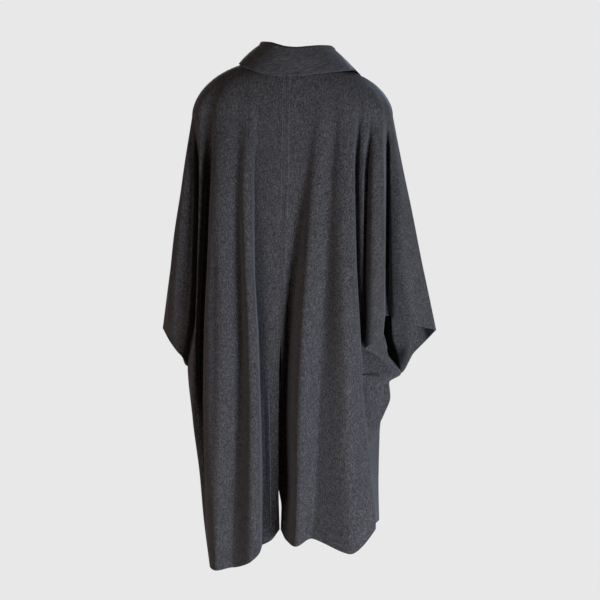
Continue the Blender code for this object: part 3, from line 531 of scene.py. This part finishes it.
def makePanels(wool):
    # The panels share their points at the side, on the overarm and in the middle of the back down to
    # the vent, and points in one place share a normal, so each seam lies flush
    surfaces = {node: panelSurface(cut, columns) for node, (cut, _, columns, _) in panelCuts.items()}
    sewn = surfaces["back_right"][0][:, 0, 2] > cloth["vent"]
    surfaces["back_left"][0][sewn, 0] = surfaces["back_right"][0][sewn, 0]
    for side in ("right", "left"):
        backLower = surfaces["back_" + side][1]
        frontUpper, frontLower = surfaces["front_" + side]
        frontLower[:, -1] = backLower[:, -1]
        frontUpper[-1, frontLower.shape[1] - 1] = backLower[0, -1]
    grids, first = {}, 0
    for node, (cut, _, columns, turned) in panelCuts.items():
        points, top, bottom, inward, lie = joinedGrid(*surfaces[node])
        faces = np.concatenate([gridFaces(top), gridFaces(bottom)])
        grids[node] = {"points": points, "faces": faces[:, ::-1] if turned else faces,
                       "both": (top, bottom), "inward": inward, "lie": lie,
                       "places": placesOf(cut, columns)[0], "first": first}
        first += len(points)
    everyFace = np.concatenate([row["faces"] + row["first"] for row in grids.values()])
    plain = pointNormals(np.concatenate([row["points"] for row in grids.values()]), everyFace)
    for node, row in grids.items():
        own = plain[row["first"]: row["first"] + len(row["points"])]
        row["points"] = softlyCreased(row["points"], own, row["both"], row["places"], softCreases[node])
    normals = pointNormals(np.concatenate([row["points"] for row in grids.values()]), everyFace)
    pieces = {}
    for node, row in grids.items():
        cut, name = panelCuts[node][:2]
        points, faces, inward, lie = row["points"], row["faces"], row["inward"], row["lie"]
        own = normals[row["first"]: row["first"] + len(points)]
        if node == "front_left":
            # Its edge lies further in, under the right front's
            under = np.zeros(len(points))
            for grid in row["both"]:
                under[grid] = np.clip(cloth["lapFolds"] - row["places"][: grid.shape[1]], 0, 1)
            points = points - own * under[:, None] * cloth["lapDrop"]
        points = points + inward * cloth["seamGap"] * seamPull(inward, own)
        pieces[node] = (points, own, *row["both"])
        weave = fromOverarm(lie, row["both"][0], row["places"] > cut["weaveBreak"])
        piece = clothPiece(name, points, own, faces, inward, weave, cloth["wall"], wool)
        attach(piece, "root")
        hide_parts(node)
    return pieces


def fromOverarm(lie, top, beyond):
    # The weave's lie: beyond the sleeve's deepest fold it is measured back from the overarm
    weave = lie.copy()
    across = lie[top, 0]
    weave[top[:, beyond], 0] = (across.max() + across - across[:, -1:])[:, beyond]
    return weave


def seamPull(inward, normals):
    # An edge that leans along the cloth's normal is pulled further, up to a bound
    lean = np.sum(inward * normals, axis=1, keepdims=True)
    return 1 / np.sqrt(np.maximum(1 - lean**2, cloth["leastLean"]))


def runAlong(grid, axis):
    # How far each point is from the first along its row or column
    steps = np.linalg.norm(np.diff(grid, axis=axis, prepend=grid.take([0], axis)), axis=-1)
    return np.cumsum(steps, axis=axis)


collar = {
    "wall": 3.0, "columns": 200, "opening": 15.0, "standRows": 5, "standFoot": 2.2, "standLean": 4.0,
    "rollRows": 14, "rollRadius": 6.5, "rollGap": 0.15, "fallRows": 18, "fallLift": 4.5, "fallBulge": 3.0,
    # the height of the collar's top, by angle round the neck
    "rollHeights": (
        (-165, -20), (-150, -8), (-120, 34), (-100, 49), (-80, 48), (-50, 45), (-35, 43), (-20, 38),
        (-5, 33), (12, 31), (30, 33), (55, 36), (80, 37), (100, 33), (120, 20), (150, -12), (165, -22)),
    # how far down the shoulder the fall reaches, as the sine of its turn over the yoke, by angle
    "reach": ((-165, 0.80), (-150, 0.97), (-122, 0.62), (-90, 0.33), (-45, 0.45), (0, 0.56),
              (45, 0.50), (90, 0.40), (122, 0.66), (150, 0.97), (165, 0.80)),
}


def yokeBelow(angles):
    # Where the folds of all four panels start at the yoke, joined by smoothThrough round the neck
    folds = [(fold[1] - 360, fold[2]) for fold in frontLeft["body"] + frontLeft["sleeve"][:-1]]
    for half in (backLeft["body"][1:] + backLeft["sleeve"], backRight["body"] + backRight["sleeve"],
                 frontRight["body"] + frontRight["sleeve"][:-1]):
        folds += [(fold[1], fold[2]) for fold in half]
    folds.sort()
    places = np.array([fold[1] for fold in folds], float)[:, [1, 2, 0]]
    return smoothThrough([fold[0] for fold in folds], places, angles)


def onShoulder(necks, plain, shares):
    # A place a share of the way down overYoke's quarter oval without its folds, and the way off
    # the cloth there, which is the oval's own slope crossed with the way round the neck
    turns = shares[:, None] * math.pi / 2
    step = plain - necks
    slope = shoulders["slope"]
    points = necks + step * np.sin(turns) ** slope
    points[:, 2:] = necks[:, 2:] + step[:, 2:] * (1 - np.cos(turns) ** slope)
    along = step * np.cos(turns) * np.sin(turns) ** (slope - 1)
    along[:, 2:] = step[:, 2:] * np.sin(turns) * np.cos(turns) ** (slope - 1)
    around = np.stack([-step[:, 1], step[:, 0], 0 * step[:, 0]], 1)
    return points, unit(np.cross(along, around))


def collarSurface(angles):
    # Straight up the stand, over the roll as a half circle, and down the fall as a parabola through
    # three places, the last of them on the shoulder
    necks, turns = neckSeam(angles), np.radians(angles)
    outward = unit(np.stack([np.sin(turns) / shoulders["neckHalfWidth"],
                             -np.cos(turns) / shoulders["neckBack"], 0 * turns], 1))
    upward, radius, gap = np.array([0, 0, 1.0]), collar["rollRadius"], collar["rollGap"]
    heights = np.array(collar["rollHeights"], float)
    tops = smoothThrough(heights[:, 0], heights[:, 1:], angles)[:, 0] - radius
    foot = necks[:, 2] + cloth["wall"] / mm / 2 + collar["standFoot"]
    stand, fall = [], []
    for share in np.linspace(0, 1, collar["standRows"] + 1):
        section = necks - outward * collar["standLean"] * share
        section[:, 2] = foot + (tops - gap - foot) * share
        stand.append(section)
    start = necks - outward * collar["standLean"]
    start[:, 2] = tops
    for turn in np.linspace(0, math.pi, collar["rollRows"] + 1):
        fall.append(start + outward * radius * (1 - math.cos(turn)) + upward * radius * math.sin(turn))
    fall[0] = fall[0] + upward * gap
    plain = plainYoke(yokeBelow(angles))
    table = np.array(collar["reach"], float)
    reach = np.arcsin(smoothThrough(table[:, 0], table[:, 1:], angles)[:, 0]) * 2 / math.pi
    on, away = onShoulder(necks, plain, reach)
    edge, end = on + away * collar["fallLift"], fall[-1]
    bend = (end + edge) / 2 + (upward + outward) * collar["fallBulge"]
    for share in np.linspace(0, 1, collar["fallRows"] + 1)[1:]:
        fall.append(end * (1 - share) ** 2 + bend * 2 * share * (1 - share) + edge * share**2)
    return np.array(stand) * mm, np.array(fall) * mm


def makeCollar(wool):
    angles = np.linspace(collar["opening"] - 180, 180 - collar["opening"], collar["columns"] + 1)
    stand, fall = collarSurface(angles)
    both = np.concatenate([stand, fall])
    faces = gridFaces(gridIndex(*both.shape[:2]))[:, ::-1]
    normals = pointNormals(both.reshape(-1, 3), faces).reshape(both.shape)
    # One normal on both sides of the seam under the roll
    seam = slice(len(stand) - 1, len(stand) + 1)
    normals[seam] = unit(normals[seam].mean(axis=0))
    for name, node, part, own in (("collarStand", "collar_stand", stand, normals[: len(stand)]),
                                  ("collarFall", "collar_fall", fall, normals[len(stand):])):
        inward = np.zeros_like(part)
        inward[0] += unit(part[1] - part[0])
        inward[-1] += unit(part[-2] - part[-1])
        inward[:, 0] += unit(part[:, 1] - part[:, 0])
        inward[:, -1] += unit(part[:, -2] - part[:, -1])
        across, down = runAlong(part, 1), runAlong(part, 0)
        places = np.stack([across, -down], -1).reshape(-1, 2)
        faces = gridFaces(gridIndex(*part.shape[:2]))[:, ::-1]
        piece = clothPiece(name, part.reshape(-1, 3), own.reshape(-1, 3), faces,
                           unit(inward.reshape(-1, 3)), places, collar["wall"] * mm, wool)
        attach(piece, "root")
        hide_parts(node)


# Charcoal mélange wool: dark, middling and pale fibres spun together in a fine upright twill,
# with a short raised nap that catches light at the edges
woolLook = {
    "dark": (0.0115, 0.0102, 0.0102), "mid": (0.0275, 0.0252, 0.0260), "pale": (0.0920, 0.0850, 0.0885),
    "tuft": 1.3 * mm, "thread": (1.1 * mm, 3.4 * mm), "fibre": 0.8 * mm, "broad": 60 * mm,
    "twill": 1.2 * mm, "twillAngle": 62.0,
    "shares": (0.27, 0.33, 0.40), "cloudy": 0.10, "furrowed": 0.05,  # of tuft, thread, fibre and so on
    "stops": (0.22, 0.52, 0.86), "bump": 0.4 * mm, "bumpStrength": 0.4, "roughness": 0.92,
    "specular": 0.2, "sheen": 0.30, "sheenRoughness": 0.45, "sheenTint": (0.60, 0.66, 0.76),
}


def addNode(nodes, kind, **values):
    node = nodes.new(kind)
    for socket, value in values.items():
        node.inputs[socket.replace("_", " ")].default_value = value
    return node


def scaledSum(nodes, links, terms, start=0.0):
    # The sum of sockets times their shares, one multiply-add after another
    total = None
    for socket, share in terms:
        step = nodes.new("ShaderNodeMath")
        step.operation = "MULTIPLY_ADD"
        step.inputs[1].default_value = share
        links.new(socket, step.inputs[0])
        if total is None:
            step.inputs[2].default_value = start
        else:
            links.new(total, step.inputs[2])
        total = step.outputs[0]
    return total


def colourRamp(nodes, links, socket, stops, colours):
    ramp = nodes.new("ShaderNodeValToRGB")
    elements = ramp.color_ramp.elements
    elements[0].position, elements[0].color = stops[0], (*colours[0], 1)
    elements[1].position, elements[1].color = stops[-1], (*colours[-1], 1)
    for place, colour in zip(stops[1:-1], colours[1:-1]):
        elements.new(place).color = (*colour, 1)
    links.new(socket, ramp.inputs["Fac"])
    return ramp.outputs["Color"]


def shadedMaterial(name, **values):
    # A new material with one principled surface that has these values
    material, nodes, links = emptyMaterial(name)
    surface = addNode(nodes, "ShaderNodeBsdfPrincipled", **values)
    links.new(surface.outputs[0], nodes.new("ShaderNodeOutputMaterial").inputs["Surface"])
    return material, nodes, links, surface


def addBump(nodes, links, surface, height, look):
    bump = addNode(nodes, "ShaderNodeBump", Strength=look["bumpStrength"], Distance=look["bump"])
    links.new(height, bump.inputs["Height"])
    links.new(bump.outputs[0], surface.inputs["Normal"])


def woolMaterial(name, look):
    material, nodes, links, surface = shadedMaterial(
        name, Roughness=look["roughness"], Specular_IOR_Level=look["specular"], Sheen_Weight=look["sheen"],
        Sheen_Roughness=look["sheenRoughness"], Sheen_Tint=(*look["sheenTint"], 1))
    flat = nodes.new("ShaderNodeUVMap")
    flat.uv_map = "flatCloth"
    upright = addNode(nodes, "ShaderNodeMapping", Scale=(1 / look["thread"][0], 1 / look["thread"][1], 1))
    slanted = addNode(nodes, "ShaderNodeMapping", Rotation=(0, 0, math.radians(look["twillAngle"])))
    tuft = addNode(nodes, "ShaderNodeTexVoronoi", Scale=1 / look["tuft"])
    thread = addNode(nodes, "ShaderNodeTexVoronoi", Scale=1.0)
    tuft.voronoi_dimensions = thread.voronoi_dimensions = "2D"
    fibre = addNode(nodes, "ShaderNodeTexNoise", Scale=1 / look["fibre"], Detail=2.0, Roughness=0.7)
    broad = addNode(nodes, "ShaderNodeTexNoise", Scale=1 / look["broad"], Detail=2.0, Roughness=0.5)
    # A wave texture's furrows lie 2 pi / 20 apart at a scale of one
    furrows = 2 * math.pi / 20 / look["twill"]
    twill = addNode(nodes, "ShaderNodeTexWave", Scale=furrows, Distortion=0.8, Detail=1.0)
    for mapping in (upright, slanted):
        links.new(flat.outputs[0], mapping.inputs["Vector"])
    for texture, way in ((tuft, flat), (thread, upright), (fibre, flat), (broad, flat), (twill, slanted)):
        links.new(way.outputs[0], texture.inputs["Vector"])
    # One random value for each tuft and each length of thread, with fibres and broad clouds over them
    apart = [nodes.new("ShaderNodeSeparateColor") for _ in range(2)]
    for texture, node in zip((tuft, thread), apart):
        links.new(texture.outputs["Color"], node.inputs[0])
    tufts, threads, fibres = look["shares"]
    shade = scaledSum(nodes, links, ((apart[0].outputs[0], tufts), (apart[1].outputs[0], threads),
                                     (fibre.outputs["Fac"], fibres), (broad.outputs["Fac"], look["cloudy"]),
                                     (twill.outputs["Fac"], look["furrowed"])))
    colour = colourRamp(nodes, links, shade, look["stops"], (look["dark"], look["mid"], look["pale"]))
    links.new(colour, surface.inputs["Base Color"])
    addBump(nodes, links, surface, shade, look)
    return material


# Stitches beside the centre back seam and round the vent's facing, and the buttonholes' edges
sewing = {
    "length": 3.2 * mm, "pitch": 3.8 * mm, "radius": 0.42 * mm, "sink": 0.05 * mm, "sides": 6,
    "rings": ((-0.5, 0.35), (-0.38, 1), (0.38, 1), (0.5, 0.35)),  # shares of a stitch's length and radius
    "fromSeam": 7.0 * mm, "collarEdge": -22 * mm, "seamFoot": -330 * mm, "seamRadius": 0.24 * mm,
    "facingTop": -690 * mm, "facingFoot": -1000 * mm, "facingTurn": 20 * mm,
    "holeHalfWidth": 1.6 * mm, "holeReach": (17 * mm, -9 * mm), "holeThread": 0.75 * mm,
    "holeSteps": 48, "holeSquare": 1.25, "nearest": 4, "nearestGap": 1e-5,
    "holeSpacing": 2.9 * mm, "buttonThread": 0.42 * mm, "dishFloor": 0.75 * mm,
}


def onGrid(grid, distance):
    # Each row's place at a distance along it from its first point, and the same share between normals
    points, normals = grid
    run = runAlong(points, 1)
    rows = [[np.interp(distance, run[k], layer[k, :, axis]) for axis in range(3)]
            for k in range(len(points)) for layer in (points, normals)]
    both = np.array(rows).reshape(len(points), 2, 3)
    return both[:, 0], unit(both[:, 1])


def outerGrid(panel, upper):
    # The outer face of a panel's upper or lower part, a little sunk for stitches, and its normals
    points, normals, top, bottom = panel
    index = top if upper else bottom
    return points[index] + normals[index] * (cloth["wall"] / 2 - sewing["sink"]), normals[index]


def evenly(points, normals, pitch):
    # Places a pitch apart along a line of points, with the way along it and off the cloth
    run = runAlong(points[None], 1)[0]
    stops = np.arange(pitch / 2, run[-1], pitch)
    at = np.stack([np.interp(stops, run, points[:, axis]) for axis in range(3)], 1)
    before = np.stack([np.interp(stops - pitch / 4, run, points[:, axis]) for axis in range(3)], 1)
    off = unit(np.stack([np.interp(stops, run, normals[:, axis]) for axis in range(3)], 1))
    return at, unit(at - before), off


def threadRound(along, off):
    # A circle across a thread at each place: its side way times the cosine and its way off the
    # cloth times the sine
    side = unit(np.cross(along, off))
    turns = np.arange(sewing["sides"])[:, None] * 2 * math.pi / sewing["sides"]
    return side[:, None] * np.cos(turns) + off[:, None] * np.sin(turns)


def stitches(at, along, off, length, radius):
    # Small rounded bars: a few circles along each, narrower at the ends
    circle = threadRound(along, off)
    rings = [at[:, None] + along[:, None] * length * share + radius * size * circle
             for share, size in sewing["rings"]]
    points = np.stack(rings, 1).reshape(-1, 3)
    index = np.arange(len(points)).reshape(len(at), len(rings), sewing["sides"])
    after = np.roll(index, -1, axis=2)
    faces = np.stack([index[:, :-1], after[:, :-1], after[:, 1:], index[:, 1:]], -1).reshape(-1, 4)
    return points, faces


def tube(path, off, radius):
    # A closed loop of thread: a circle carried round a path of points
    along = unit(np.roll(path, -1, axis=0) - np.roll(path, 1, axis=0))
    points = path[:, None] + radius * threadRound(along, off)
    index = np.arange(points.shape[0] * points.shape[1]).reshape(points.shape[:2])
    onward = np.roll(index, -1, axis=0)
    faces = np.stack([index, np.roll(index, -1, axis=1), np.roll(onward, -1, axis=1), onward], -1)
    return points.reshape(-1, 3), faces.reshape(-1, 4)


def addSewing(name, parts, material):
    starts = np.cumsum([0] + [len(points) for points, _ in parts])
    points = np.concatenate([points for points, _ in parts])
    faces = np.concatenate([faces + start for (_, faces), start in zip(parts, starts)])
    piece = meshObject(name, points, faces, material)
    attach(piece, "root")
    print("sewing", name, len(faces), "faces")


def stitchLine(points, normals, radius):
    return stitches(*evenly(points, normals, sewing["pitch"]), sewing["length"], radius)


def makeBackStitches(panels, thread):
    # Down both sides of the centre back seam from below the collar
    parts = []
    for node in ("back_right", "back_left"):
        line, off = onGrid(outerGrid(panels[node], True), sewing["fromSeam"])
        shown = (line[:, 2] < sewing["collarEdge"]) & (line[:, 2] > sewing["seamFoot"])
        parts.append(stitchLine(line[shown], off[shown], sewing["seamRadius"]))
    # Down the left back's facing, which ends at its first fold, and across above the hem
    grids = [outerGrid(panels["back_left"], upper) for upper in (True, False)]
    inner = grain["backColumns"] + len(grain["edgePlaces"])
    line = np.concatenate([grid[0][:, inner] for grid in grids])
    off = np.concatenate([grid[1][:, inner] for grid in grids])
    shown = (line[:, 2] < sewing["facingTop"]) & (line[:, 2] > sewing["facingFoot"])
    parts.append(stitchLine(line[shown], off[shown], sewing["radius"]))
    lower, lowerOff = grids[1]
    row = int(np.argmin(np.abs(lower[:, inner, 2] - sewing["facingFoot"])))
    across = runAlong(lower[row][None], 1)[0]
    part = (across >= across[inner]) & (across <= across[inner] + sewing["facingTurn"])
    parts.append(stitchLine(lower[row, part], lowerOff[row, part], sewing["radius"]))
    addSewing("backStitches", parts, thread)


def makeButtons(panels, plastic, thread):
    # The buttons keep their shape and get their plastic, crossed threads and buttonholes
    halves = [outerGrid(panels["front_right"], upper) for upper in (True, False)]
    front, frontOff = (np.concatenate([half[k].reshape(-1, 3) for half in halves]) for k in range(2))
    holes, crosses = [], []
    for node in ("button_1", "button_2", "button_3", "button_4"):
        button = bpy.data.objects[node]
        for slot in button.material_slots:
            slot.material = plastic
        corners = np.empty(len(button.data.vertices) * 3)
        button.data.vertices.foreach_get("co", corners)
        corners = corners.reshape(-1, 3)
        middle = (corners.min(axis=0) + corners.max(axis=0)) / 2
        axis = np.linalg.svd(corners - corners.mean(axis=0), full_matrices=False)[2][2]
        axis = axis * np.sign(axis[1])
        level = unit(np.cross(axis, [0, 0, 1.0]))
        rise = np.cross(level, axis)
        # Two threads that cross from hole to hole on the dished floor
        floor = middle + axis * sewing["dishFloor"]
        length = 2 * sewing["holeSpacing"] * math.sqrt(2)
        for turn in (1, -1):
            way = unit(level + rise * turn)
            crosses.append(stitches(floor[None], way[None], axis[None], length, sewing["buttonThread"]))
        # The buttonhole is a long loop with squared ends, laid on the cloth from behind the button
        # towards the edge, as deep as the mean of the nearest points weighted by closeness
        turns = np.linspace(0, 2 * math.pi, sewing["holeSteps"], endpoint=False)
        far, near = sewing["holeReach"]
        half = (far - near) / 2
        wide = np.clip(sewing["holeSquare"] * np.cos(turns), -1, 1) * half + (far + near) / 2
        across = middle[0] - wide
        height = middle[2] + np.sin(turns) * sewing["holeHalfWidth"]
        gap = np.hypot(front[None, :, 0] - across[:, None], front[None, :, 2] - height[:, None])
        close = np.argsort(gap, axis=1)[:, : sewing["nearest"]]
        weight = 1 / (np.take_along_axis(gap, close, 1) + sewing["nearestGap"])
        weight = weight / weight.sum(axis=1, keepdims=True)
        depth = (front[close, 1] * weight).sum(axis=1)
        off = unit((frontOff[close] * weight[..., None]).sum(axis=1))
        holes.append(tube(np.stack([across, depth, height], 1), off, sewing["holeThread"]))
    addSewing("buttonThreads", crosses, thread)
    addSewing("buttonholeEdges", holes, thread)


threadLook = {"dark": (0.070, 0.069, 0.074), "pale": (0.200, 0.200, 0.215), "ply": 0.5 * mm,
              "stops": (0.35, 0.65), "roughness": 0.75, "bump": 0.1 * mm, "bumpStrength": 0.5}


def threadMaterial(name, look):
    # Cotton thread, lighter and darker in flecks as small as its ply
    material, nodes, links, surface = shadedMaterial(name, Roughness=look["roughness"])
    place = nodes.new("ShaderNodeTexCoord")
    ply = addNode(nodes, "ShaderNodeTexNoise", Scale=1 / look["ply"], Detail=2.0)
    links.new(place.outputs["Object"], ply.inputs["Vector"])
    colour = colourRamp(nodes, links, ply.outputs["Fac"], look["stops"], (look["dark"], look["pale"]))
    links.new(colour, surface.inputs["Base Color"])
    addBump(nodes, links, surface, ply.outputs["Fac"], look)
    return material


plasticLook = {"dark": (0.010, 0.0098, 0.0105), "pale": (0.040, 0.037, 0.036), "swirl": 11 * mm,
               "fine": 0.6 * mm, "stops": (0.38, 0.72), "roughness": (0.30, 0.48), "bump": 0.04 * mm,
               "bumpStrength": 0.4}


def plasticMaterial(name, look):
    # Dark moulded plastic with a faint cloudy swirl, a little duller where it is paler
    material, nodes, links, surface = shadedMaterial(name)
    place = nodes.new("ShaderNodeTexCoord")
    swirl = addNode(nodes, "ShaderNodeTexNoise", Scale=1 / look["swirl"], Detail=4.0, Distortion=1.6)
    fine = addNode(nodes, "ShaderNodeTexNoise", Scale=1 / look["fine"], Detail=2.0)
    for texture in (swirl, fine):
        links.new(place.outputs["Object"], texture.inputs["Vector"])
    colour = colourRamp(nodes, links, swirl.outputs["Fac"], look["stops"], (look["dark"], look["pale"]))
    links.new(colour, surface.inputs["Base Color"])
    dull = nodes.new("ShaderNodeMapRange")
    dull.inputs["To Min"].default_value, dull.inputs["To Max"].default_value = look["roughness"]
    links.new(swirl.outputs["Fac"], dull.inputs["Value"])
    links.new(dull.outputs[0], surface.inputs["Roughness"])
    addBump(nodes, links, surface, fine.outputs["Fac"], look)
    return material


makeStudio()
wool = woolMaterial("charcoalMelangeWool", woolLook)
panels = makePanels(wool)
makeCollar(wool)
thread = threadMaterial("darkThread", threadLook)
makeBackStitches(panels, thread)
makeButtons(panels, plasticMaterial("darkButtonPlastic", plasticLook), thread)
